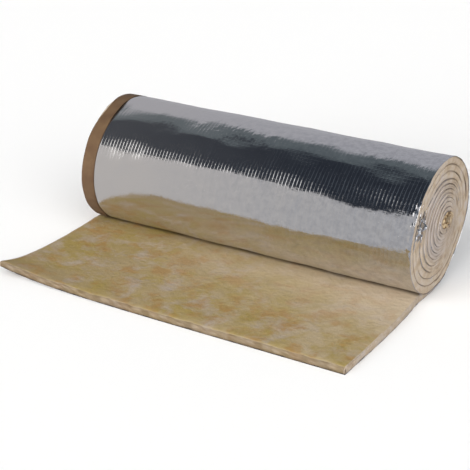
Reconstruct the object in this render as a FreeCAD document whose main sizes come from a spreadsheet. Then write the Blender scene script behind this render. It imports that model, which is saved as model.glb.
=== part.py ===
"""A roll of foil-faced glass-wool insulation blanket with its free end laid out flat.

The blanket is glass wool with a foil-scrim-kraft facing laminated to its outer side.
It is wound foil outwards round a small bore, and its free end, the tail, runs forward
(-Y) along the floor, foil down and wool up. The outermost turn leaves the tail at the
floor, climbs the back of the roll and comes down the front into the nip, where it rides
on the tail. Half a blanket's thickness of difference between the back and the front
radius makes that spiral step.

On the left edge the facing is a blanket's stapling flange: a margin with no foil to be
seen, folded back so that its brown kraft side shows.

Frame: +X along the roll to its right end, +Y to its back, +Z up, with the origin under
the middle of the whole part, on the floor. Sizes are in millimetres.
"""

import FreeCAD
import Part
import Sketcher
import os

Vector = FreeCAD.Vector

SIZES = (
    ("blanket_width", 1219.0, "width of the blanket, 48 inches"),
    ("blanket_thickness", 22.0, "wool and facing together, where the blanket lies loose"),
    ("facing_thickness", 0.3, "foil, scrim and kraft laminate"),
    ("flange_width", 51.0, "kraft margin on the left edge, 2 inches"),
    ("coil_radius", 202.0, "outside of the facing on the front of the roll"),
    ("bore_radius", 12.0, "hole in the middle, where the winding starts"),
    ("tail_length", 621.0, "from under the roll's axis to the free end"),
    ("tail_end_fillet", 8.0, "rounding of the cut edge at the free end"),
    ("loose_turns", 3.0, "number of outer turns that have sprung open"),
    ("loose_press", 0.5, "how much their wool is pressed together"),
    ("tight_turns", 8.0, "number of inner turns"),
    ("core_step", 4.5, "how far each inner turn stands out past the one round it"),
    ("seam_width", 3.0, "mouth of the groove between two turns, on an end"),
    ("seam_depth", 4.0, "depth of that groove"),
)


def make_sheet(doc):
    """The driving dimensions, one row each: name, value, meaning."""
    sheet = doc.addObject("Spreadsheet::Sheet", "Sizes")
    for row, (alias, value, meaning) in enumerate(SIZES, start=1):
        sheet.set(f"A{row}", alias)
        sheet.set(f"B{row}", f"{value:g}")
        sheet.set(f"C{row}", meaning)
        sheet.setAlias(f"B{row}", alias)
    worked_out = (
        ("back_radius", "coil_radius + blanket_thickness / 2"),
        ("axis_height", "coil_radius + blanket_thickness"),
        ("wool_radius", "coil_radius - facing_thickness"),
        ("loose_pitch", "blanket_thickness - loose_press"),
        ("tight_radius", "wool_radius - loose_turns * loose_pitch"),
        ("tight_pitch", "(tight_radius - bore_radius) / tight_turns"),
        ("core_reach", "tight_turns * core_step"),
        ("shift_right", "-core_reach / 2"),
        ("shift_back", "(tail_length - back_radius) / 2"),
    )
    for row, (alias, formula) in enumerate(worked_out, start=len(SIZES) + 2):
        sheet.set(f"A{row}", alias)
        sheet.set(f"B{row}", f"={formula}")
        sheet.setAlias(f"B{row}", alias)
    doc.recompute()
    return sheet


def make_body(doc, name):
    """A body whose placement puts the origin under the middle of the whole part."""
    body = doc.addObject("PartDesign::Body", name)
    body.Label = name
    body.setExpression("Placement.Base.x", "Sizes.shift_right")
    body.setExpression("Placement.Base.y", "Sizes.shift_back")
    return body


def make_sketch(body, name, plane, offset):
    """A sketch on one of the body's origin planes. offset is (property, expression)."""
    sketch = body.newObject("Sketcher::SketchObject", name)
    origin = next(f for f in body.Origin.OriginFeatures if f.Role == plane)
    sketch.AttachmentSupport = [(origin, "")]
    sketch.MapMode = "FlatFace"
    sketch.setExpression(*offset)
    return sketch


def hold(sketch, edge, end, across, up):
    """Holds one end of a sketch edge at a point that two expressions give."""
    for kind, axis, expression in (("DistanceX", -2, across), ("DistanceY", -1, up)):
        if expression == "0":
            sketch.addConstraint(Sketcher.Constraint("PointOnObject", edge, end, axis))
            continue
        size = float(sketch.evalExpression(expression))
        ends = (-1, 1, edge, end) if size > 0 else (edge, end, -1, 1)
        row = sketch.addConstraint(Sketcher.Constraint(kind, *ends, abs(size)))
        signed = expression if size > 0 else f"-({expression})"
        sketch.setExpression(f"Constraints[{row}]", signed)


def draw_loop(sketch, corners):
    """Draws a closed loop. A corner is (across, up, edge), and edge is how the loop goes
    on to the next corner: "line", or a half circle bulging to the "back" or "front",
    whose two ends and centre lie on the sketch's upright axis."""
    points = [
        Vector(float(sketch.evalExpression(x)), float(sketch.evalExpression(y)), 0)
        for x, y, _ in corners
    ]
    starts, ends = [], []
    for i, (_, _, edge) in enumerate(corners):
        here, there = points[i], points[(i + 1) % len(points)]
        if edge == "line":
            row = sketch.addGeometry(Part.LineSegment(here, there), False)
            first = 1
        else:
            radius = (there - here).Length / 2
            bulge = Vector(radius if edge == "back" else -radius, 0, 0)
            arc = Part.Arc(here, (here + there) / 2 + bulge, there)
            row = sketch.addGeometry(arc, False)
            anticlockwise = (there.y > here.y) == (edge == "back")
            first = 1 if anticlockwise else 2
            sketch.addConstraint(Sketcher.Constraint("PointOnObject", row, 3, -2))
        starts.append((row, first))
        ends.append((row, 3 - first))
    for i, (across, up, _) in enumerate(corners):
        sketch.addConstraint(Sketcher.Constraint("Coincident", *ends[i - 1], *starts[i]))
        hold(sketch, *starts[i], across, up)


def turns(sheet):
    """Each turn of the coil from the outermost inwards, as two expressions: its outer
    radius, and how far it stands out at the right end past the blanket's edge."""
    for turn in range(round(sheet.loose_turns)):
        yield f"Sizes.wool_radius - {turn} * Sizes.loose_pitch", "0"
    for turn in range(round(sheet.tight_turns)):
        yield f"Sizes.tight_radius - {turn} * Sizes.tight_pitch", f"{turn + 1} * Sizes.core_step"


def end_profile(sheet, side):
    """The corners of one end of the coil's half section, from the rim to the bore. Each
    turn ends in a flat ring, and a V groove parts it from the next. The inner turns have
    slipped along the axis and stand out at the right end. The left end is flush."""
    edge = f"{side} * Sizes.blanket_width / 2"
    rings = [(r, f"{edge} + {step}" if side > 0 else edge) for r, step in turns(sheet)]
    corners = [(rings[0][1], rings[0][0], "line")]
    for (_, face), (seam, next_face) in zip(rings, rings[1:]):
        corners += [
            (face, f"{seam} + Sizes.seam_width / 2", "line"),
            (f"{face} - {side} * Sizes.seam_depth", seam, "line"),
            (next_face, f"{seam} - Sizes.seam_width / 2", "line"),
        ]
    corners.append((rings[-1][1], "Sizes.bore_radius", "line"))
    return corners


def turn_coil(sheet, body):
    """The wound part of the blanket: one turned solid with its bore."""
    section = make_sketch(
        body, "coil_section", "XZ_Plane", ("AttachmentOffset.Base.y", "Sizes.axis_height")
    )
    draw_loop(section, end_profile(sheet, 1) + end_profile(sheet, -1)[::-1])
    coil = body.newObject("PartDesign::Revolution", "coil")
    coil.Profile = section
    coil.ReferenceAxis = (section, ["H_Axis"])
    coil.Angle = 360
    return coil


def pad_along_roll(body, name, corners, start, length):
    """A profile in the YZ plane, drawn out along the roll from start for length."""
    profile = make_sketch(body, f"{name}_profile", "YZ_Plane", ("AttachmentOffset.Base.z", start))
    draw_loop(profile, corners)
    pad = body.newObject("PartDesign::Pad", name)
    pad.Profile = profile
    pad.setExpression("Length", length)
    return pad


def wool_tail_corners():
    """The tail, and the crescent by which the outermost turn grows off the coil. Its
    inner arc lies just inside the coil, and the upright under it ends the facing's slot."""
    sunk = "Sizes.seam_depth"
    return [
        ("0", "Sizes.blanket_thickness", "line"),
        ("-Sizes.tail_length", "Sizes.blanket_thickness", "line"),
        ("-Sizes.tail_length", "Sizes.facing_thickness", "line"),
        ("0", "Sizes.facing_thickness", "back"),
        ("0", "Sizes.axis_height + Sizes.wool_radius", "line"),
        ("0", f"Sizes.axis_height + Sizes.wool_radius - {sunk}", "back"),
        ("0", f"Sizes.axis_height - Sizes.wool_radius + {sunk}", "line"),
    ]


def facing_corners():
    """The facing as one thin sheet: under the tail, up the back, over the top, down the
    front and into the nip between the roll and the tail."""
    return [
        ("-Sizes.tail_length", "0", "line"),
        ("0", "0", "back"),
        ("0", "Sizes.axis_height + Sizes.coil_radius", "front"),
        ("0", "Sizes.blanket_thickness", "line"),
        ("0", "Sizes.axis_height - Sizes.wool_radius", "front"),
        ("0", "Sizes.axis_height + Sizes.wool_radius", "back"),
        ("0", "Sizes.facing_thickness", "line"),
        ("-Sizes.tail_length", "Sizes.facing_thickness", "line"),
    ]


def round_tail_end(doc, body, pad):
    """Rounds the wool's cut edge along the free end, on its upper side."""
    doc.recompute()
    sheet = doc.Sizes
    end = Vector(0, -sheet.tail_length, sheet.blanket_thickness)
    for number, edge in enumerate(pad.Shape.Edges, start=1):
        middle = edge.CenterOfMass
        if (Vector(0, middle.y, middle.z) - end).Length < sheet.facing_thickness / 2:
            break
    else:
        raise RuntimeError("the free end has no upper edge to round")
    fillet = body.newObject("PartDesign::Fillet", "tail_end")
    fillet.Base = (pad, [f"Edge{number}"])
    fillet.setExpression("Radius", "Sizes.tail_end_fillet")
    return fillet


def make_wool(doc):
    """The glass wool: coil, outermost turn and tail are one piece."""
    body = make_body(doc, "glass_wool_blanket")
    turn_coil(doc.Sizes, body)
    tail = pad_along_roll(
        body,
        "tail_and_outer_turn",
        wool_tail_corners(),
        "-Sizes.blanket_width / 2",
        "Sizes.blanket_width",
    )
    body.Tip = round_tail_end(doc, body, tail)


def make_facing(doc):
    """The foil side of the facing, from the flange to the right edge."""
    body = make_body(doc, "foil_facing")
    body.Tip = pad_along_roll(
        body,
        "foil_sheet",
        facing_corners(),
        "Sizes.flange_width - Sizes.blanket_width / 2",
        "Sizes.blanket_width - Sizes.flange_width",
    )


def make_flange(doc):
    """The kraft margin on the left edge, flush with the foil beside it."""
    body = make_body(doc, "kraft_flange")
    body.Tip = pad_along_roll(
        body,
        "kraft_margin",
        facing_corners(),
        "-Sizes.blanket_width / 2",
        "Sizes.flange_width",
    )


def check(doc):
    """Stops on any feature that failed, and on any body that isn't one valid solid."""
    for item in doc.Objects:
        if "Invalid" in item.State or "Error" in item.State:
            raise RuntimeError(f"{item.Name} failed: {item.State}")
    for body in doc.findObjects("PartDesign::Body"):
        shape = body.Shape
        if shape.isNull() or not shape.isValid() or len(shape.Solids) != 1:
            raise RuntimeError(f"{body.Label} is not one valid solid")
        box = shape.BoundBox
        print(
            f"{body.Label}: {shape.Volume / 1e6:.3f} litres, "
            f"X {box.XMin:.1f} to {box.XMax:.1f}, "
            f"Y {box.YMin:.1f} to {box.YMax:.1f}, Z {box.ZMin:.1f} to {box.ZMax:.1f}"
        )


def main():
    doc = FreeCAD.newDocument("insulation_roll")
    make_sheet(doc)
    make_wool(doc)
    make_facing(doc)
    make_flange(doc)
    doc.recompute()
    check(doc)
    os.makedirs("parts", exist_ok=True)
    for body in doc.findObjects("PartDesign::Body"):
        body.Shape.exportStep(os.path.join("parts", f"{body.Label}.step"))


main()
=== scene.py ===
"""A roll of foil-faced glass-wool blanket, its free end laid out flat, in a pale studio."""

import math

import bmesh
import bpy
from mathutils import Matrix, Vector, noise


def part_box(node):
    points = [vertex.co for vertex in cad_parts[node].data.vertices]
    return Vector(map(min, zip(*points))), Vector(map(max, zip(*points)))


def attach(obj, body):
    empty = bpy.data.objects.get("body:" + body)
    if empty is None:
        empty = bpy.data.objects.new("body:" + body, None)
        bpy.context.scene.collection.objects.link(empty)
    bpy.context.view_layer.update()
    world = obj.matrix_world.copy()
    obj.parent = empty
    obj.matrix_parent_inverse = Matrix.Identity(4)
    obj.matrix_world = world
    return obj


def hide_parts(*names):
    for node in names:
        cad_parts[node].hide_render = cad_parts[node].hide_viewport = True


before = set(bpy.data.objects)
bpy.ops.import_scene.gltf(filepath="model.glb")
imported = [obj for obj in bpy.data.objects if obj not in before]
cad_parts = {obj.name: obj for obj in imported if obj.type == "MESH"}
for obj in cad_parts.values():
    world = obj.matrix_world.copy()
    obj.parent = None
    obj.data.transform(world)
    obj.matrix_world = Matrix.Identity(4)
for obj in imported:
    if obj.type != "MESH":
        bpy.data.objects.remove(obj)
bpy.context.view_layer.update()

# ---------------------------------------------------------------- sizes, in metres
_, wool_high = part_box("glass_wool_blanket")
foil_low, foil_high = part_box("foil_facing")
kraft_low, kraft_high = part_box("kraft_flange")

THICK = 0.022  # wool and facing together, lying loose
FACING = 0.0003  # thickness of the foil-scrim-kraft sheet
LEFT, RIGHT = kraft_low.x, foil_high.x  # the blanket's two long edges
WIDTH = RIGHT - LEFT
FLANGE = kraft_high.x - kraft_low.x  # width of the folded margin
RADIUS = (foil_high.z - THICK) / 2  # of the outside of the roll, facing and all
AXIS_Z = RADIUS + THICK
AXIS_Y = foil_high.y - RADIUS - THICK / 2
TAIL = AXIS_Y - foil_low.y  # length of the tail from under the axis to the free end
CORE_REACH = wool_high.x - RIGHT  # by which the core stands out at the right end
LOOSE_TURNS = 3
TIGHT_TURNS = 8
TURNS = LOOSE_TURNS + TIGHT_TURNS
LOOSE_PITCH = THICK - 0.0005
BORE = 0.009  # radius of the hole where the winding starts
WOOL_RADIUS = RADIUS - FACING
TIGHT_RADIUS = WOOL_RADIUS - LOOSE_TURNS * LOOSE_PITCH
TIGHT_PITCH = (TIGHT_RADIUS - BORE) / TIGHT_TURNS
LAP = 0.06  # turns by which the outer turn's facing runs on into the nip
KRAFT_GAP = 0.0007  # from the foil to the kraft folded back over it
EDGE_STRIP = 0.035  # width of the facing's edge that is drawn between the turns
CORE_RISE = 0.026  # the tight core sits this much above the axis of the outer turns
CORE_FRAY = 0.012  # how much of its reach the core's torn end gives up
OVAL = 0.0071  # share by which the slumped roll is taller than a true circle
LEAN = 0.0765  # share by which it is stretched from the low front to the high back
CORE_SQUASH = 0.35  # share by which the innermost turns are wider than tall
SKEW = 0.021  # how far the blanket has slipped left where it leaves the roll
CURL = 0.030  # height of the tail's far left corner
EDGE = 0.001  # closer than this to a long edge, a point is on the cut end
TORN_WIDTH = 0.042  # turns over which a torn place of the facing fades out
# Where the facing is torn and bent out at the right end: the turn, and how badly.
TORN = ((1.71, 1.3), (2.70, 1.6), (3.71, 0.7), (9.72, 0.7))


# ---------------------------------------------------------------- the winding
def smooth(low, high, value):
    """0 below low, 1 above high, and an S curve between them."""
    t = min(1.0, max(0.0, (value - low) / (high - low)))
    return t * t * (3 - 2 * t)


def front_radius(turn):
    """Radius of the facing on the front half of a whole turn, counted from outside."""
    if turn < 0:
        return RADIUS + THICK - FACING
    if turn <= LOOSE_TURNS:
        return WOOL_RADIUS - turn * LOOSE_PITCH
    return max(BORE, TIGHT_RADIUS - (turn - LOOSE_TURNS) * TIGHT_PITCH)


def wound(turn):
    """Where the inside of the facing is after so many turns, as (y, z) from the axis, and
    the direction out of the roll. Turns start at the floor and climb the back first. The
    back half circles are set half a pitch off the front ones, which makes the spiral. The
    roll has slumped into an oval that leans back, and sits flat where it bears."""
    whole = math.floor(turn)
    part = turn - whole
    angle = math.tau * part
    if part < 0.5:
        radius = (front_radius(whole) + front_radius(whole - 1)) / 2
        rise = (front_radius(whole) - front_radius(whole - 1)) / 2
        lowest = -front_radius(whole - 1)
    else:
        radius, rise, lowest = front_radius(whole), 0.0, -front_radius(whole)
    y, z = radius * math.sin(angle), rise - radius * math.cos(angle)
    slump = 1 + OVAL * math.cos(2 * angle) - LEAN * math.sin(2 * angle)
    loose = 0.0004 + 0.0022 * smooth(0.8, 1.6, turn) - 0.0012 * smooth(3, 4, turn)
    loose += 0.0016 * smooth(TURNS - 2, TURNS, turn)
    spot = Vector((2.4 * math.sin(angle), 2.4 * math.cos(angle), 2.9 * turn))
    slump += loose * noise.noise(spot) * 2 / max(radius, 0.03)
    squash = 1 + CORE_SQUASH * smooth(TURNS - 2.5, TURNS, turn)
    climb = CORE_RISE * smooth(LOOSE_TURNS - 0.5, TURNS + 1, turn)
    out = Vector((math.sin(angle), -math.cos(angle)))
    return Vector((y * slump * squash, max(z * slump, lowest) + climb)), out


def blanket_section(station):
    """The facing side and the open side of the blanket at a station, and the way out. A
    station below 0 is metres along the tail, and above 0 it is turns of the roll."""
    if station < 0:
        floor = FACING - AXIS_Z
        return Vector((station, floor)), Vector((station, THICK - AXIS_Z)), Vector((0, -1))
    outer, out = wound(station)
    inner, _ = wound(station + 1)
    return outer, inner + out * FACING, out


def slip(turn):
    """How far a turn stands out at the right end: the core has telescoped."""
    if turn < 0:
        return 0.0
    rim = 0.002 * smooth(LOOSE_TURNS - 0.25, LOOSE_TURNS + 0.1, turn)
    core = max(0.0, turn - LOOSE_TURNS) / TIGHT_TURNS
    uneven = 0.0012 * noise.noise(Vector((turn * 2.7, 5, 1)))
    return rim + (CORE_REACH - CORE_FRAY) * core + uneven


def travel(stations):
    """Length of facing from the free end to each station."""
    total, lengths, last = 0.0, [], None
    for station in stations:
        here = blanket_section(station)[0]
        total += (here - last).length if last is not None else 0.0
        lengths.append(total)
        last = here
    return lengths


def ripple(x, along):
    """How far the facing stands out or in of a true curve: long slack waves, buckles that
    run slantwise over the roll, and a row of low humps 270 mm apart in front of its top.
    The left end is beaten flat in front of its top."""
    wave = 0.0024 * noise.noise(Vector((x / 0.2, along / 0.065, 3.1)))
    wave += 0.0006 * noise.noise(Vector((x / 0.06, along / 0.045, 5.7)))
    slant = Vector(((x + 0.8 * along) / 0.045, (along - 0.8 * x) / 0.16, 8.4))
    patch = smooth(0.0, 0.5, noise.noise(Vector((x / 0.12, along / 0.12, 20.0))))
    buckle = 0.0008 * patch * (1 - 2 * abs(noise.noise(slant))) ** 2
    turn = along / (math.tau * RADIUS)
    near_top = math.exp(-(((turn - 0.575) / 0.026) ** 2))
    hump = math.sin(math.tau * (x - LEFT - 0.0575) / 0.27) * near_top
    wave += 0.0016 * hump
    flat = 0.009 * math.exp(-(((turn - 0.55) / 0.055) ** 2) - (x - LEFT) / 0.09)
    return wave + buckle - flat


def tail_curl(x, y):
    """Lift of the tail off the floor: its far left corner curls up."""
    corner = math.exp(-((x - LEFT) / 0.16) - ((y + TAIL) / 0.085))
    return CURL * corner


def place(x, station, depth, outward=0.0):
    """A point of the blanket: depth 0 is against the facing and 1 is the open side, and
    outward moves it out of the roll. The tail leaves the roll to its left, and runs back
    to the right towards its free end, which is a little wider."""
    outer, inner, out = blanket_section(station)
    point = outer.lerp(inner, depth) + out * outward
    z = point.y + AXIS_Z
    on_tail = 1 - smooth(-0.05, 0.3, station)
    x += on_tail * 0.007 * (2 * (x - LEFT) / WIDTH - 1)
    if station < 0:
        x += max(-SKEW, 0.008 - 0.05 * math.exp(station / 0.2))
        x -= 0.3 * tail_curl(x, station)
        z += tail_curl(x, station)
    else:
        x -= SKEW * (1 - smooth(0, 0.3, station))
    return Vector((x, point.x + AXIS_Y, z))


# ---------------------------------------------------------------- mesh helpers
def spread(start, end, step, fine=()):
    """Places from start to end about a step apart, with finer ones near both ends."""
    margin = fine[-1] if fine else 0
    low, high = start + margin, end - margin
    count = max(2, round((high - low) / step))
    middle = [low + (high - low) * i / count for i in range(count + 1)]
    if not fine:
        return middle
    near_start = [start + offset for offset in fine[:-1]]
    near_end = [end - offset for offset in reversed(fine[:-1])]
    return [start, *near_start, *middle, *near_end, end]


def turn_stations(first, last, fine=100):
    """Stations of the wound part, closer together on the large outer turns."""
    stations, turn = [], first
    while turn < last - 1e-6:
        stations.append(turn)
        size = front_radius(math.floor(turn))
        turn += 1 / max(28, fine * size / RADIUS)
    return stations + [last]


def rolled_grid(name, columns, rows, locate):
    """A flat grid of so many columns and rows, each of whose points locate(column, row)
    puts in place. It also gives the point's UV in metres, and how far it is a cut edge,
    browned and darkened with painted shade (in the seams between turns, and on the tail's cut
    front)."""
    mesh = bmesh.new()
    bmesh.ops.create_grid(mesh, x_segments=columns - 1, y_segments=rows - 1, size=1.0)
    uv_layer = mesh.loops.layers.uv.new("sheet_metres")
    cut_layer = mesh.verts.layers.float.new("cut_edge")
    brown_layer = mesh.verts.layers.float.new("browned")
    painted_shade_layer = mesh.verts.layers.float.new("painted_shade")
    places = {}
    for vert in mesh.verts:
        column = round((vert.co.x + 1) / 2 * (columns - 1))
        row = round((vert.co.y + 1) / 2 * (rows - 1))
        vert.co, places[vert], shares = locate(column, row)
        vert[cut_layer], vert[brown_layer], vert[painted_shade_layer] = shares
    for face in mesh.faces:
        face.smooth = True
        for loop in face.loops:
            loop[uv_layer].uv = places[loop.vert]
    bmesh.ops.remove_doubles(mesh, verts=mesh.verts[:], dist=1e-6)
    bmesh.ops.dissolve_degenerate(mesh, edges=mesh.edges[:], dist=1e-7)
    return finish_mesh(name, mesh)


def finish_mesh(name, mesh):
    """Turns a bmesh into an object at the origin, with its faces all turned one way."""
    bmesh.ops.recalc_face_normals(mesh, faces=mesh.faces[:])
    data = bpy.data.meshes.new(name)
    mesh.to_mesh(data)
    mesh.free()
    piece = bpy.data.objects.new(name, data)
    bpy.context.scene.collection.objects.link(piece)
    return piece


def face_outwards(piece):
    """Turns an open sheet's faces so that they look out of the roll or down at the floor."""
    mesh = bmesh.new()
    mesh.from_mesh(piece.data)
    axis = Vector((0, AXIS_Y, AXIS_Z))
    total = 0.0
    for face in mesh.faces:
        centre = face.calc_center_median()
        away = Vector((0, centre.y - axis.y, centre.z - axis.z))
        total += face.normal.dot(away) * face.calc_area()
    if total < 0:
        bmesh.ops.reverse_faces(mesh, faces=mesh.faces[:])
    mesh.to_mesh(piece.data)
    mesh.free()


def solidify(piece, thickness):
    """Gives a sheet its thickness, inwards from the surface that was modelled."""
    face_outwards(piece)
    wall = piece.modifiers.new("thickness", "SOLIDIFY")
    wall.thickness = thickness
    wall.offset = -1.0
    wall.use_even_offset = False


# ---------------------------------------------------------------- the pieces
def make_wool():
    """The glass wool: tail, outer turn and coil as one blanket wound up, closed at its
    two ends and two long edges, which are torn and worn round."""
    xs = spread(LEFT, RIGHT, 0.0125, fine=(0.004, 0.010))
    rim = (0.09, 0.25, 0.5, 0.75, 0.91)
    loop = [(x, 0.0) for x in xs] + [(RIGHT, depth) for depth in rim]
    loop += [(x, 1.0) for x in reversed(xs)] + [(LEFT, 1 - depth) for depth in rim]
    loop.append(loop[0])
    # The first two rows share a place. The squeeze below shuts one and half opens the other.
    tail = [-TAIL + inset for inset in (0.0005, 0.0005, 0.0018, 0.005, 0.010)]
    tail += spread(-TAIL + 0.018, -0.01, 0.0125)
    coil = turn_stations(0.0, TURNS, 56)
    stations = tail + coil + [coil[-1]]
    # How much of its thickness each row keeps, where the two ends of the blanket close.
    squeeze = {0: 0.0, 1: 0.42, 2: 0.68, 3: 0.87, 4: 0.96, len(stations) - 1: 0.0}

    def locate(column, row):
        x, side = loop[column]
        station = stations[row]
        edge = min(x - LEFT, RIGHT - x)
        on_end = edge < EDGE
        depth = side
        if row in squeeze:
            pinch = 0.15 if row < 5 else 0.5
            depth = pinch + (side - pinch) * squeeze[row]
        sign = 1 if x > (LEFT + RIGHT) / 2 else -1
        along = station * (math.tau * front_radius(math.floor(station)) if station > 0 else 1)
        moved = x + sign * wear(side, station, along, sign, edge)
        moved += slip(station) * (x - LEFT) / WIDTH
        if on_end and station > TURNS - 2:
            frayed = noise.noise(Vector((along / 0.012, side * 1.7, 5.0)))
            moved += 0.007 * frayed * smooth(TURNS - 2, TURNS, station)
        outward = 0.0
        if side == 0 and 0 < station < 1 + LAP:
            outward = ripple(x, along) * smooth(0, 0.12, station) - 0.0009
        point = place(moved, station, depth, outward)
        if side == 1 and station < 0:
            point.z += tail_relief(point.x, point.y)
            point.z -= 0.002 * (1 - smooth(0, 0.016, edge))
        if station < -TAIL + 0.02:
            point.y += 0.004 * noise.noise(Vector((x / 0.05, 2.0, 0))) * smooth(0, 0.02, edge)
            point.y += 0.0032 * noise.noise(Vector((x / 0.027, 0.6 * side, 4.0)))
        cut = 1.0 if on_end else 0.8 if row < 4 else 0.0
        brown = smooth(TURNS - 1.4, TURNS - 0.4, station)
        # Painted shade: the seams between turns on the cut ends, and the tail's cut front edge
        # below, are darkened.
        painted_shade = painted_shade_share(side, station, along) if on_end else None
        if painted_shade is None and row < 4:
            painted_shade = 1.0 if row == 0 else 0.86 + 0.5 * noise.noise(Vector((x / 0.03, row, 6.0)))
        return point, (x + sign * side * THICK, along), (cut, brown, max(0.0, painted_shade or 0.0))

    return rolled_grid("glass_wool", len(loop), len(stations), locate)


def wear(side, station, along, sign, edge):
    """How far a point near a long edge stands out past it: the cut end is ragged, and its
    corners are worn back, most of all the top one of the tail. The corner that the facing
    holds on the outer turn is almost sharp."""
    spot = Vector((along / 0.05, side * 2.2, sign * 7.0 + math.floor(station)))
    ragged = 0.0014 * noise.noise(spot) + 0.0012 * noise.noise(spot * 3.3)
    worn = 0.0024 + 0.004 * max(0.0, noise.noise(Vector((along / 0.06, 11.0, sign))))
    if side == 0 and station < 1.1:
        worn, ragged = 0.0005, 0.3 * ragged
    worn += 0.002 * (1 - smooth(-0.05, 0.05, station)) * side
    back = worn * abs(2 * side - 1) ** 5 * (1 - smooth(0, 0.008, edge))
    return (ragged if edge < EDGE else 0.0) - back


def painted_shade_share(side, station, along):
    """How much painted shade a point of a cut end gets, or None where it gets none. It is
    darkest in the seams between two turns, standing in for the shade in the grooves there.
    It spreads a little way from them on the back of the roll, and near the tail's end, and
    reaches the middle of the tight turns in places."""
    if station > 0 and side in (0.0, 1.0):
        return 0.55 + 1.3 * noise.noise(Vector((along / 0.09, math.floor(station + side), 2.0)))
    if side in (0.09, 0.91) and station - math.floor(station) < 0.5:
        return 0.30 + 1.1 * noise.noise(Vector((along / 0.09, math.floor(station + side), 2.0)))
    if side == 0.5 and station > LOOSE_TURNS:
        return 0.22 + 1.1 * noise.noise(Vector((along / 0.05, math.floor(station), 7.0)))
    return None


def tail_relief(x, y):
    """Low lumps and hollows of the wool's open face."""
    lumps = 0.0016 * noise.noise(Vector((x / 0.055, y / 0.075, 1.5)))
    return lumps + 0.0007 * noise.noise(Vector((x / 0.018, y / 0.025, 6.5)))


def facing_stations(fine=100):
    """Stations of the outer sheets: the tail, the outer turn and its lap into the nip."""
    return spread(-TAIL, -0.012, 0.02) + turn_stations(0.0, 1 + LAP, fine)


def fold_room(x, station):
    """How far out the facing moves to leave room for the folded margin. Under the tail the
    margin lies below the foil, so the foil is raised there."""
    under = 1 - smooth(0.0, 0.12, station)
    return -KRAFT_GAP * under * (1 - smooth(FLANGE, FLANGE + 0.02, x - LEFT))


def make_foil():
    """The foil facing of the tail and the outer turn, as one sheet."""
    fine = (0.0025, 0.005, 0.0075, 0.010, 0.013, 0.017)
    xs = spread(LEFT + 0.002, RIGHT + 0.0005, 0.0098, fine)
    stations = facing_stations(170)
    lengths = travel(stations)

    def locate(column, row):
        x, station = xs[column], stations[row]
        along = station * math.tau * RADIUS if station > 0 else station
        outward = FACING + fold_room(x, station)
        if station > 0:
            outward += ripple(x, along) * smooth(0, 0.12, station)
        edge = RIGHT - x
        crushed = 1 - smooth(0.0, 0.024, edge)
        crushed *= smooth(0.60, 0.66, station) * (1 - smooth(0.77, 0.82, station))
        crumple = noise.noise(Vector((x / 0.012, along / 0.016, 9.0)))
        outward += 0.010 * crushed * max(-0.05, crumple)
        wave = 0.0022 * noise.noise(Vector((along / 0.025, 1.0, 2.0))) * (edge < EDGE)
        return place(x + wave, station, 0.0, outward), (x, lengths[row]), (0.0, 0.0, 0.0)

    piece = rolled_grid("foil_facing_sheet", len(xs), len(stations), locate)
    solidify(piece, FACING)
    return piece, lengths[-1]


def make_turn_edges(name, left, right, side):
    """The facing's edge where it shows between the turns on an end of the roll: side is 1
    at the right end, where it is torn and bent out in places, and -1 at the left end."""
    xs = spread(left, right, 0.0026) if side > 0 else spread(left, right, 0.007)
    stations = turn_stations(1 + LAP, TURNS - 0.02, 130)
    if side > 0:
        stations += [at + 0.0025 * step for at, _ in TORN for step in range(-28, 29)]
        stations = sorted(set(stations))
    lengths = travel(stations)

    def locate(column, row):
        x, station = xs[column], stations[row]
        rim = column / (len(xs) - 1) if side > 0 else 1 - column / (len(xs) - 1)
        along = lengths[row]
        ragged = max(0.0, noise.noise(Vector((along / 0.045, 3.3, 0)))) - 0.12
        jag = noise.noise(Vector((along / 0.012, 9.3, 0)))
        torn = 0.0
        if side > 0:
            for at, size in TORN:
                torn += size * math.exp(-(((station - at) / TORN_WIDTH) ** 2))
        reach = 0.0035 * ragged + 0.0008 * jag + torn * (0.011 + 0.010 * jag)
        at_front = 1 - smooth(0.03, 0.15, abs(station % 1 - 0.70))
        reach -= 0.003 * smooth(2.9, 3.4, station) * at_front
        moved = x + side * reach * rim**4 + slip(station) * (x - LEFT) / WIDTH
        bend = noise.noise(Vector((x / 0.009, along / 0.012, 7.0)))
        bend = bend * (0.0009 + 0.006 * torn) * rim**2
        return place(moved, station, 0.0, FACING / 2 + bend), (x, along), (0.0, 0.0, 0.0)

    piece = rolled_grid(name, len(xs), len(stations), locate)
    solidify(piece, FACING)
    return piece, lengths[-1]


def make_kraft():
    """The margin of the facing, folded back over the foil with its kraft side out. It goes
    round the fold at the left edge and a little way in under the foil's edge."""
    xs = spread(LEFT + 0.0006, LEFT + FLANGE, 0.0085)
    section = [(x, 1.0) for x in reversed(xs)]
    section += [(LEFT - 0.0004, 0.55), (LEFT - 0.0004, 0.1)]
    section += [(LEFT + 0.001, -0.3), (LEFT + 0.008, -0.5)]
    stations = facing_stations()
    lengths = travel(stations)

    def locate(column, row):
        x, layer = section[column]
        station = stations[row]
        along = station * math.tau * RADIUS if station > 0 else station
        over = FACING + KRAFT_GAP * layer + fold_room(LEFT, station)
        if station > 0:
            over += ripple(x, along) * smooth(0, 0.12, station)
            free = max(0.0, (x - LEFT) / FLANGE) ** 2
            peel = smooth(0.49, 0.53, station) * (1 - smooth(0.56, 0.62, station))
            lift = 0.0006 * (1 + noise.noise(Vector((along / 0.04, 0, 0))))
            over += free * (0.0045 * peel + lift)
            x += 0.0012 * free * noise.noise(Vector((along / 0.05, 4.0, 0)))
        return place(x, station, 0.0, over), (x, lengths[row]), (0.0, 0.0, 0.0)

    piece = rolled_grid("kraft_margin", len(section), len(stations), locate)
    solidify(piece, FACING)
    return piece, lengths[-1]


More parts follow.
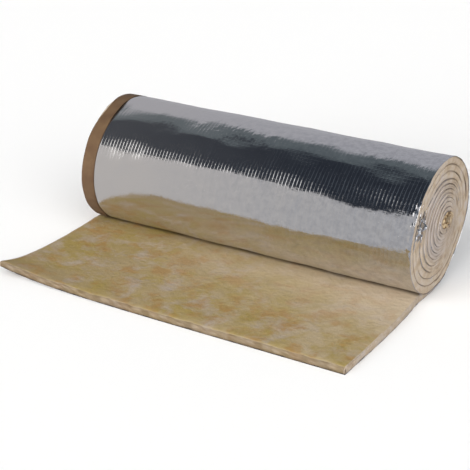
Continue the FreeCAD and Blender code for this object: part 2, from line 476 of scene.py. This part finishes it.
# ---------------------------------------------------------------- materials
def linear(code, strength=1.0):
    """An sRGB hex colour as linear RGBA, made brighter by a strength for a light."""
    parts = [int(code[i : i + 2], 16) / 255 for i in (1, 3, 5)]
    parts = [c / 12.92 if c <= 0.04045 else ((c + 0.055) / 1.055) ** 2.4 for c in parts]
    return (*[c * strength for c in parts], 1.0)


def node(tree, kind, inputs=None, stops=None, **settings):
    """Adds a shader node. inputs maps a socket to a value, to an output to link from, or
    to a node whose first output is linked. stops are a ramp's positions and colours."""
    new = tree.nodes.new("ShaderNode" + kind)
    for name, value in settings.items():
        setattr(new, name, value)
    for name, value in (inputs or {}).items():
        if isinstance(value, bpy.types.Node):
            value = value.outputs[0]
        if isinstance(value, bpy.types.NodeSocket):
            tree.links.new(value, new.inputs[name])
        else:
            new.inputs[name].default_value = value
    if stops:
        ramp = new.color_ramp.elements
        while len(ramp) < len(stops):
            ramp.new(0.5)
        for element, (position, colour) in zip(ramp, stops):
            element.position, element.color = position, colour
    return new


def new_material(name):
    material = bpy.data.materials.new(name)
    material.use_nodes = True
    tree = material.node_tree
    tree.nodes.clear()
    surface = node(tree, "BsdfPrincipled")
    node(tree, "OutputMaterial", {"Surface": surface})
    return material, tree, surface


# A noise texture of Scale s has features about 1/s metres across, so the comments below
# give the size in millimetres that each Scale was worked out from.


def blotched_face(tree, here, places):
    """The wool's open face: tan, with blotches 110, 83 and 71 mm across where the binder
    lies thick or thin. Near the roll it is painted paler to the right, a painted light that
    lifts the shade the roll casts there. Under the roll's front it has painted shade: a much
    darker tone that stands in for the shade in the nip."""
    warp = node(tree, "TexNoise", {"Vector": here, "Scale": 10.0, "Detail": 4.0})
    bent = node(
        tree, "MixRGB", {0: 0.06, 1: here, 2: warp.outputs["Color"]}, blend_type="ADD"
    )

    def blotches(offset, scale, low, high, most):
        moved = node(tree, "Mapping", {"Vector": bent, "Location": offset})
        cloud = node(
            tree, "TexNoise",
            {"Vector": moved, "Scale": scale, "Detail": 6.0, "Roughness": 0.62},
        )
        return node(
            tree, "MapRange",
            {"Value": cloud.outputs["Fac"], "From Min": low, "From Max": high, "To Max": most},
        )

    right = node(
        tree, "MapRange", {"Value": places.outputs["X"], "From Min": -0.4, "From Max": 0.5}
    )
    tan = node(tree, "MixRGB", {0: right, 1: linear("#978562"), 2: linear("#a69577")})
    olive_share = blotches((0, 0, 0), 9.0, 0.42, 0.62, 0.9)
    olive = node(tree, "MixRGB", {0: olive_share, 1: tan, 2: linear("#94814b")})
    grey_share = blotches((3.1, 1.7, 0), 12.0, 0.50, 0.70, 0.75)
    grey = node(tree, "MixRGB", {0: grey_share, 1: olive, 2: linear("#a4978d")})
    brown_share = blotches((7.3, 4.1, 0), 14.0, 0.50, 0.64, 0.7)
    brown = node(tree, "MixRGB", {0: brown_share, 1: grey, 2: linear("#957344")})
    # Painted light: paler to the right near the roll, lifting the shade the roll casts on the
    # tail.
    near_roll = node(
        tree, "MapRange",
        {"Value": places.outputs["Y"], "From Min": -0.26, "From Max": 0.06, "To Max": 0.75},
    )
    painted_light_share = node(tree, "Math", {0: right, 1: near_roll}, operation="MULTIPLY")
    pale = node(tree, "MixRGB", {0: painted_light_share, 1: brown, 2: linear("#c2b099")})
    # Painted shade: under the roll's front, low down in the nip, the wool is mixed towards a
    # dark brown.
    nip_front, nip_back = AXIS_Y - 0.100, AXIS_Y - 0.074
    under = node(
        tree, "MapRange",
        {
            "Value": places.outputs["Y"],
            "From Min": nip_front,
            "From Max": nip_back,
            "To Max": 0.92,
        },
    )
    low = node(
        tree, "MapRange",
        {"Value": places.outputs["Z"], "From Min": 2 * THICK, "From Max": 1.4 * THICK},
    )
    painted_nip_shade = node(tree, "Math", {0: under, 1: low}, operation="MULTIPLY")
    return node(tree, "MixRGB", {0: painted_nip_shade, 1: pale, 2: linear("#3f2f1f")})


def cut_end(tree, here, places):
    """The wool's cut edges: paler and pinker than its face, in tones 38 mm across. The
    tight coil's front is duller, the core is browned in clots 10 mm across, and painted
    shade darkens the seams between the turns."""
    tones = node(
        tree, "TexNoise", {"Vector": here, "Scale": 26.0, "Detail": 5.0, "Roughness": 0.65}
    )
    edge_tone = node(
        tree, "ValToRGB", {"Fac": tones.outputs["Fac"]},
        stops=[
            (0.30, linear("#9a8872")),
            (0.44, linear("#ad9c88")),
            (0.56, linear("#b5a797")),
            (0.70, linear("#b0a6a0")),
        ],
    )
    # The tight coil is a disc of about 125 mm radius, centred 20 mm above the roll's axis.
    from_centre = (0.0, -AXIS_Y, -AXIS_Z - 0.02)
    level = node(
        tree, "Mapping", {"Vector": here, "Location": from_centre, "Scale": (0.0, 1.0, 1.0)}
    )
    distance = node(tree, "VectorMath", {0: level}, operation="LENGTH").outputs["Value"]
    coiled = node(tree, "MapRange", {"Value": distance, "From Min": 0.135, "From Max": 0.115})
    front = node(
        tree, "MapRange",
        {
            "Value": places.outputs["Y"],
            "From Min": AXIS_Y + 0.05,
            "From Max": AXIS_Y - 0.07,
            "To Min": 0.2,
            "To Max": 0.85,
        },
    )
    dull = node(tree, "Math", {0: coiled, 1: front}, operation="MULTIPLY")
    coil_tone = node(tree, "MixRGB", {0: dull, 1: edge_tone, 2: linear("#a79d97")})
    clots = node(tree, "TexNoise", {"Vector": here, "Scale": 95.0, "Detail": 3.0})
    clot = node(
        tree, "ValToRGB", {"Fac": clots.outputs["Fac"]},
        stops=[(0.40, linear("#5c4833")), (0.47, linear("#967e5d")), (0.60, linear("#bda888"))],
    )
    core = node(tree, "Attribute", attribute_name="browned").outputs["Fac"]
    baked = node(tree, "MixRGB", {0: core, 1: coil_tone, 2: clot})
    # Painted shade: the seams between the turns, and the tail's cut front, are mixed towards a
    # dark brown.
    painted_shade = node(tree, "Attribute", attribute_name="painted_shade").outputs["Fac"]
    return node(tree, "MixRGB", {0: painted_shade, 1: baked, 2: linear("#5d4f41")})


def wool_material():
    """Glass wool, spun and felted with binder. Its fibres scatter light, so that it looks
    quite matt, soft and blotched. It lies in tufts 17 mm across. The fibres are too fine
    to show, and are drawn 3 mm across in layers 25 mm long, and 4 mm across in between."""
    material, tree, surface = new_material("glass_wool_felt")
    here = node(tree, "TexCoord").outputs["Object"]
    sheet = node(tree, "UVMap", uv_map="sheet_metres")
    places = node(tree, "SeparateXYZ", {"Vector": here})
    cut = node(tree, "Attribute", attribute_name="cut_edge").outputs["Fac"]
    face, end = blotched_face(tree, here, places), cut_end(tree, here, places)
    colour = node(tree, "MixRGB", {0: cut, 1: face, 2: end})
    tree.links.new(colour.outputs[0], surface.inputs["Base Color"])
    surface.inputs["Roughness"].default_value = 0.95
    surface.inputs["Specular IOR Level"].default_value = 0.15
    tufts = node(tree, "TexNoise", {"Vector": here, "Scale": 60.0, "Detail": 4.0})
    soft = node(
        tree, "Bump", {"Strength": 0.7, "Distance": 0.004, "Height": tufts.outputs["Fac"]}
    )
    stretched = node(tree, "Mapping", {"Vector": sheet, "Scale": (1.0, 0.12, 1.0)})
    layers = node(
        tree, "TexNoise",
        {"Vector": stretched, "Scale": 330.0, "Detail": 3.0, "Roughness": 0.6},
    )
    combed = node(
        tree, "Bump",
        {
            "Strength": 0.5,
            "Distance": 0.0014,
            "Height": layers.outputs["Fac"],
            "Normal": soft,
        },
    )
    fibres = node(
        tree, "TexNoise", {"Vector": here, "Scale": 230.0, "Detail": 3.0, "Roughness": 0.7}
    )
    fine = node(
        tree, "Bump",
        {
            "Strength": 0.5,
            "Distance": 0.0012,
            "Height": fibres.outputs["Fac"],
            "Normal": combed,
        },
    )
    tree.links.new(fine.outputs[0], surface.inputs["Normal"])
    return material


def over_turn(tree, down, stops):
    """A share that follows the outer turn of the roll, given as (turn, share) pairs."""
    turn = node(
        tree, "MapRange",
        {"Value": down, "From Min": TAIL, "From Max": TAIL + math.tau * RADIUS},
    )
    greys = [(at, (share, share, share, 1)) for at, share in stops]
    return node(tree, "ValToRGB", {"Fac": turn}, stops=greys)


def yarn_ridges(tree, sheet, across, down):
    """Bump of the scrim: yarns 12.5 mm apart both ways, which a wave of Scale 25.1 gives.
    The ridges stand up 0.24 mm, mostly round the roll and at its front, where the facing
    is pulled tight, and more towards the right. Their line wobbles over 45 mm."""
    wobble = node(tree, "TexNoise", {"Vector": sheet, "Scale": 22.0, "Detail": 2.0})
    bent = node(
        tree, "MixRGB", {0: 0.003, 1: sheet, 2: wobble.outputs["Color"]}, blend_type="ADD"
    )
    hoop = node(tree, "TexWave", {"Vector": bent, "Scale": 25.1}, bands_direction="X")
    lengthwise = node(tree, "TexWave", {"Vector": bent, "Scale": 25.1}, bands_direction="Y")
    hoop_ridge = node(tree, "Math", {0: hoop.outputs["Fac"], 1: 6.0}, operation="POWER")
    long_ridge = node(tree, "Math", {0: lengthwise.outputs["Fac"], 1: 9.0}, operation="POWER")
    both = node(
        tree, "Math", {0: long_ridge, 1: 0.25, 2: hoop_ridge}, operation="MULTIPLY_ADD"
    )
    tight = over_turn(
        tree, down,
        [(0.55, 0.3), (0.59, 0.6), (0.635, 0.75), (0.645, 1.0), (0.67, 1.0), (0.70, 0.3)],
    )
    pulled = node(
        tree, "MapRange",
        {"Value": across, "From Min": LEFT, "From Max": RIGHT, "To Min": 0.78, "To Max": 1.5},
    )
    taut = node(tree, "Math", {0: pulled, 1: tight}, operation="MULTIPLY")
    standing = node(tree, "Math", {0: both, 1: taut}, operation="MULTIPLY")
    return node(tree, "Bump", {"Strength": 1.0, "Distance": 0.00024, "Height": standing})


def creases(tree, sheet, right, down, under):
    """Bump of slantwise folds 67 mm across over the yarns. They come in patches 140 mm
    across near the top of the roll, and more evenly where it is pressed lower down."""
    slanted = node(
        tree, "Mapping",
        {"Vector": sheet, "Rotation": (0.0, 0.0, 0.7), "Scale": (1.0, 0.6, 1.0)},
    )
    slant = node(
        tree, "TexNoise", {"Vector": slanted, "Scale": 15.0, "Detail": 3.0, "Roughness": 0.5}
    )
    centred = node(tree, "Math", {0: slant.outputs["Fac"], 1: 0.5}, operation="SUBTRACT")
    fold = node(tree, "Math", {0: centred}, operation="ABSOLUTE")
    patches = node(tree, "TexNoise", {"Vector": sheet, "Scale": 7.0, "Detail": 2.0})
    patch = node(
        tree, "MapRange",
        {
            "Value": patches.outputs["Fac"],
            "From Min": 0.45,
            "From Max": 0.62,
            "To Min": 0.12,
            "To Max": 1.0,
        },
    )
    top = over_turn(
        tree, down, [(0.50, 1.0), (0.56, 0.9), (0.59, 0.5), (0.62, 0.1), (1.0, 0.1)]
    )
    handled = node(tree, "Math", {0: patch, 1: top}, operation="MULTIPLY")
    lower = over_turn(tree, down, [(0.62, 0.0), (0.67, 0.25), (0.72, 0.25), (0.735, 0.08)])
    pressed = node(tree, "Math", {0: right, 1: lower}, operation="MULTIPLY")
    worked = node(tree, "Math", {0: handled, 1: pressed}, operation="ADD")
    folds = node(tree, "Math", {0: fold, 1: worked}, operation="MULTIPLY")
    return node(
        tree, "Bump", {"Strength": 1.0, "Distance": 0.011, "Height": folds, "Normal": under}
    )


def foil_material():
    """Foil-scrim-kraft facing: bright rolled aluminium foil bonded over a grid of yarns. It
    mirrors the room, a little blurred, and its ridges, creases and dents 9 mm across break
    that reflection up. Smudges 21 mm across dull it, mostly towards the right, and rubbed
    patches 71 mm across are less sharp."""
    material, tree, surface = new_material("foil_scrim_kraft")
    sheet = node(tree, "UVMap", uv_map="sheet_metres")
    flat = node(tree, "SeparateXYZ", {"Vector": sheet})
    across, down = flat.outputs["X"], flat.outputs["Y"]
    right = node(
        tree, "MapRange", {"Value": across, "From Min": LEFT + 0.2, "From Max": RIGHT - 0.1}
    )
    tint = node(tree, "MixRGB", {0: right, 1: linear("#e8e5e3"), 2: linear("#e6e7ea")})
    smudges = node(
        tree, "TexNoise", {"Vector": sheet, "Scale": 48.0, "Detail": 5.0, "Roughness": 0.65}
    )
    smudge = node(
        tree, "MapRange", {"Value": smudges.outputs["Fac"], "From Min": 0.40, "From Max": 0.68}
    )
    soiled = node(
        tree, "Math", {0: smudge, 1: right, 2: 0.25},
        operation="MULTIPLY_ADD", use_clamp=True,
    )
    colour = node(tree, "MixRGB", {0: soiled, 1: tint, 2: linear("#d0d1d5")})
    tree.links.new(colour.outputs[0], surface.inputs["Base Color"])
    dust_free = node(
        tree, "MapRange",
        {
            "Value": across,
            "From Min": LEFT + 0.1,
            "From Max": RIGHT - 0.4,
            "To Min": 0.972,
            "To Max": 0.997,
        },
    )
    tree.links.new(dust_free.outputs[0], surface.inputs["Metallic"])
    rubbed = node(tree, "TexNoise", {"Vector": sheet, "Scale": 14.0, "Detail": 4.0})
    blur = node(
        tree, "MapRange",
        {
            "Value": rubbed.outputs["Fac"],
            "From Min": 0.3,
            "From Max": 0.7,
            "To Min": 0.08,
            "To Max": 0.14,
        },
    )
    tree.links.new(blur.outputs[0], surface.inputs["Roughness"])
    yarns = yarn_ridges(tree, sheet, across, down)
    creased = creases(tree, sheet, right, down, yarns)
    dents = node(
        tree, "TexNoise", {"Vector": sheet, "Scale": 110.0, "Detail": 3.0, "Roughness": 0.6}
    )
    dented = node(
        tree, "Bump",
        {
            "Strength": 1.0,
            "Distance": 0.00026,
            "Height": dents.outputs["Fac"],
            "Normal": creased,
        },
    )
    tree.links.new(dented.outputs[0], surface.inputs["Normal"])
    return material


def kraft_material():
    """Unbleached kraft paper, the back of the facing: brown and matt, in faint clouds 45 mm
    across. Its fibre is too fine to show, and is drawn 2.4 mm across."""
    material, tree, surface = new_material("kraft_paper")
    sheet = node(tree, "UVMap", uv_map="sheet_metres")
    clouds = node(tree, "TexNoise", {"Vector": sheet, "Scale": 22.0, "Detail": 5.0})
    tone = node(
        tree, "ValToRGB", {"Fac": clouds.outputs["Fac"]},
        stops=[(0.3, linear("#513c2a")), (0.7, linear("#604b35"))],
    )
    tree.links.new(tone.outputs[0], surface.inputs["Base Color"])
    surface.inputs["Roughness"].default_value = 0.72
    fibre = node(tree, "TexNoise", {"Vector": sheet, "Scale": 420.0, "Detail": 3.0})
    bump = node(
        tree, "Bump", {"Strength": 0.4, "Distance": 0.0003, "Height": fibre.outputs["Fac"]}
    )
    tree.links.new(bump.outputs[0], surface.inputs["Normal"])
    return material


# ---------------------------------------------------------------- studio
def make_floor():
    """A plain pale floor in matt paint, 28 m square. The foil doesn't mirror it."""
    mesh = bmesh.new()
    bmesh.ops.create_grid(mesh, x_segments=1, y_segments=1, size=14.0)
    floor = finish_mesh("studio_floor", mesh)
    material, _, surface = new_material("painted_floor")
    surface.inputs["Base Color"].default_value = linear("#f7f6f4")
    surface.inputs["Roughness"].default_value = 0.9
    floor.data.materials.append(material)
    floor.visible_glossy = False


def make_world():
    """Pale walls all round and a dark ceiling, which the foil mirrors as its dark band: the
    front of the ceiling is near black with a hard edge, and its back is slate and soft.
    Two windows are brighter. Only what is turned well aside mirrors them: the left one
    shows as ticks of light on the yarn ridges, and the right one on the torn foil."""
    world = bpy.data.worlds.new("studio")
    bpy.context.scene.world = world
    world.use_nodes = True
    tree = world.node_tree
    tree.nodes.clear()
    way = node(tree, "TexCoord").outputs["Generated"]

    def share(direction, low, high):
        along = node(tree, "VectorMath", {0: way, 1: direction}, operation="DOT_PRODUCT")
        return node(
            tree, "MapRange",
            {"Value": along.outputs["Value"], "From Min": low, "From Max": high},
        )

    to_right, to_ceiling = (1.0, 0.0, 0.0), (0.0, -0.174, 0.985)
    to_front_ceiling, to_back = (-0.2, -0.170, 0.965), (0.0, -0.766, 0.643)
    to_front = (-0.27, -1.0, 0.05)
    to_left_window, to_right_window = (-0.768, -0.466, 0.440), (0.75, -0.5, 0.433)
    dark_share = share(to_right, -0.33, -0.12)
    dark = node(tree, "MixRGB", {0: dark_share, 1: linear("#292e37"), 2: linear("#59616a")})
    wall_share = share(to_right, -0.72, -0.22)
    wall = node(tree, "MixRGB", {0: wall_share, 1: linear("#c3bfbb"), 2: linear("#afb0b4")})
    front_edge = share(to_front_ceiling, 0.750, 0.765)
    front = node(tree, "MixRGB", {0: front_edge, 1: wall, 2: dark})
    past, above = share(to_back, 0.11, 0.25), share(to_ceiling, 0.25, 0.5)
    slate_share = node(tree, "Math", {0: past, 1: above}, operation="MULTIPLY")
    back = node(tree, "MixRGB", {0: slate_share, 1: linear("#adadb2"), 2: linear("#5f676b")})
    room = node(tree, "MixRGB", {0: share(to_front, 0.06, 0.18), 1: back, 2: front})
    right_window, left_window = linear("#fffdfb", 2.6), linear("#fffefd", 1.55)
    right_share = share(to_right_window, 0.955, 0.975)
    right_lit = node(tree, "MixRGB", {0: right_share, 1: room, 2: right_window})
    left_share = share(to_left_window, 0.974, 0.992)
    lit = node(tree, "MixRGB", {0: left_share, 1: right_lit, 2: left_window})
    light = node(tree, "Background", {"Color": lit, "Strength": 1.0})
    node(tree, "OutputWorld", {"Surface": light})


def direction(azimuth, elevation):
    """Unit vector towards an azimuth and elevation in degrees. Azimuth 0 is the front."""
    turn, rise = math.radians(azimuth), math.radians(elevation)
    return Vector((
        math.sin(turn) * math.cos(rise),
        -math.cos(turn) * math.cos(rise),
        math.sin(rise),
    ))


def make_sun(name, azimuth, elevation, strength, spread_angle):
    """A very wide soft light. It is left out of reflections: the foil mirrors the walls."""
    data = bpy.data.lights.new(name, "SUN")
    data.energy, data.angle = strength, math.radians(spread_angle)
    lamp = bpy.data.objects.new(name, data)
    bpy.context.scene.collection.objects.link(lamp)
    lamp.rotation_euler = direction(azimuth, elevation).to_track_quat("Z", "Y").to_euler()
    lamp.visible_glossy = False


def make_camera():
    """A long lens from the front right, a little above, aimed low on the roll's front."""
    target = Vector((RIGHT - WIDTH / 2, AXIS_Y - 0.187, 0.152))
    distance = 4.361
    back = direction(32.29, 22.43)
    data = bpy.data.cameras.new("camera")
    data.lens, data.sensor_width = 105.4, 36.0
    data.shift_x, data.shift_y = -0.0052, -0.018
    camera = bpy.data.objects.new("camera", data)
    bpy.context.scene.collection.objects.link(camera)
    camera.location = target + back * distance
    camera.rotation_euler = (-back).to_track_quat("-Z", "Y").to_euler()
    bpy.context.scene.camera = camera


# ---------------------------------------------------------------- assembly
def main():
    """Builds the pieces and the studio."""
    wool_stuff, foil_stuff, kraft_stuff = wool_material(), foil_material(), kraft_material()
    wool = make_wool()
    foil, foil_length = make_foil()
    kraft, kraft_length = make_kraft()
    foil_turns, turns_length = make_turn_edges(
        "foil_turn_edges", RIGHT - EDGE_STRIP, RIGHT - 0.003, 1
    )
    kraft_turns, _ = make_turn_edges("kraft_turn_edges", LEFT + 0.003, LEFT + EDGE_STRIP, -1)
    for piece, stuff, slot in (
        (wool, wool_stuff, "glass_wool"),
        (foil, foil_stuff, "foil"),
        (foil_turns, foil_stuff, "foil"),
        (kraft, kraft_stuff, "kraft"),
        (kraft_turns, kraft_stuff, "kraft"),
    ):
        piece.data.materials.append(stuff)
        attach(piece, "root")
    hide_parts("glass_wool_blanket")
    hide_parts("foil_facing")
    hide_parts("kraft_flange")

    make_floor()
    make_world()
    make_sun("key", 50, 38, 1.7, 70)
    make_sun("fill", -10, 22, 3.6, 50)
    make_camera()
    bpy.context.scene.view_settings.view_transform = "Standard"


main()
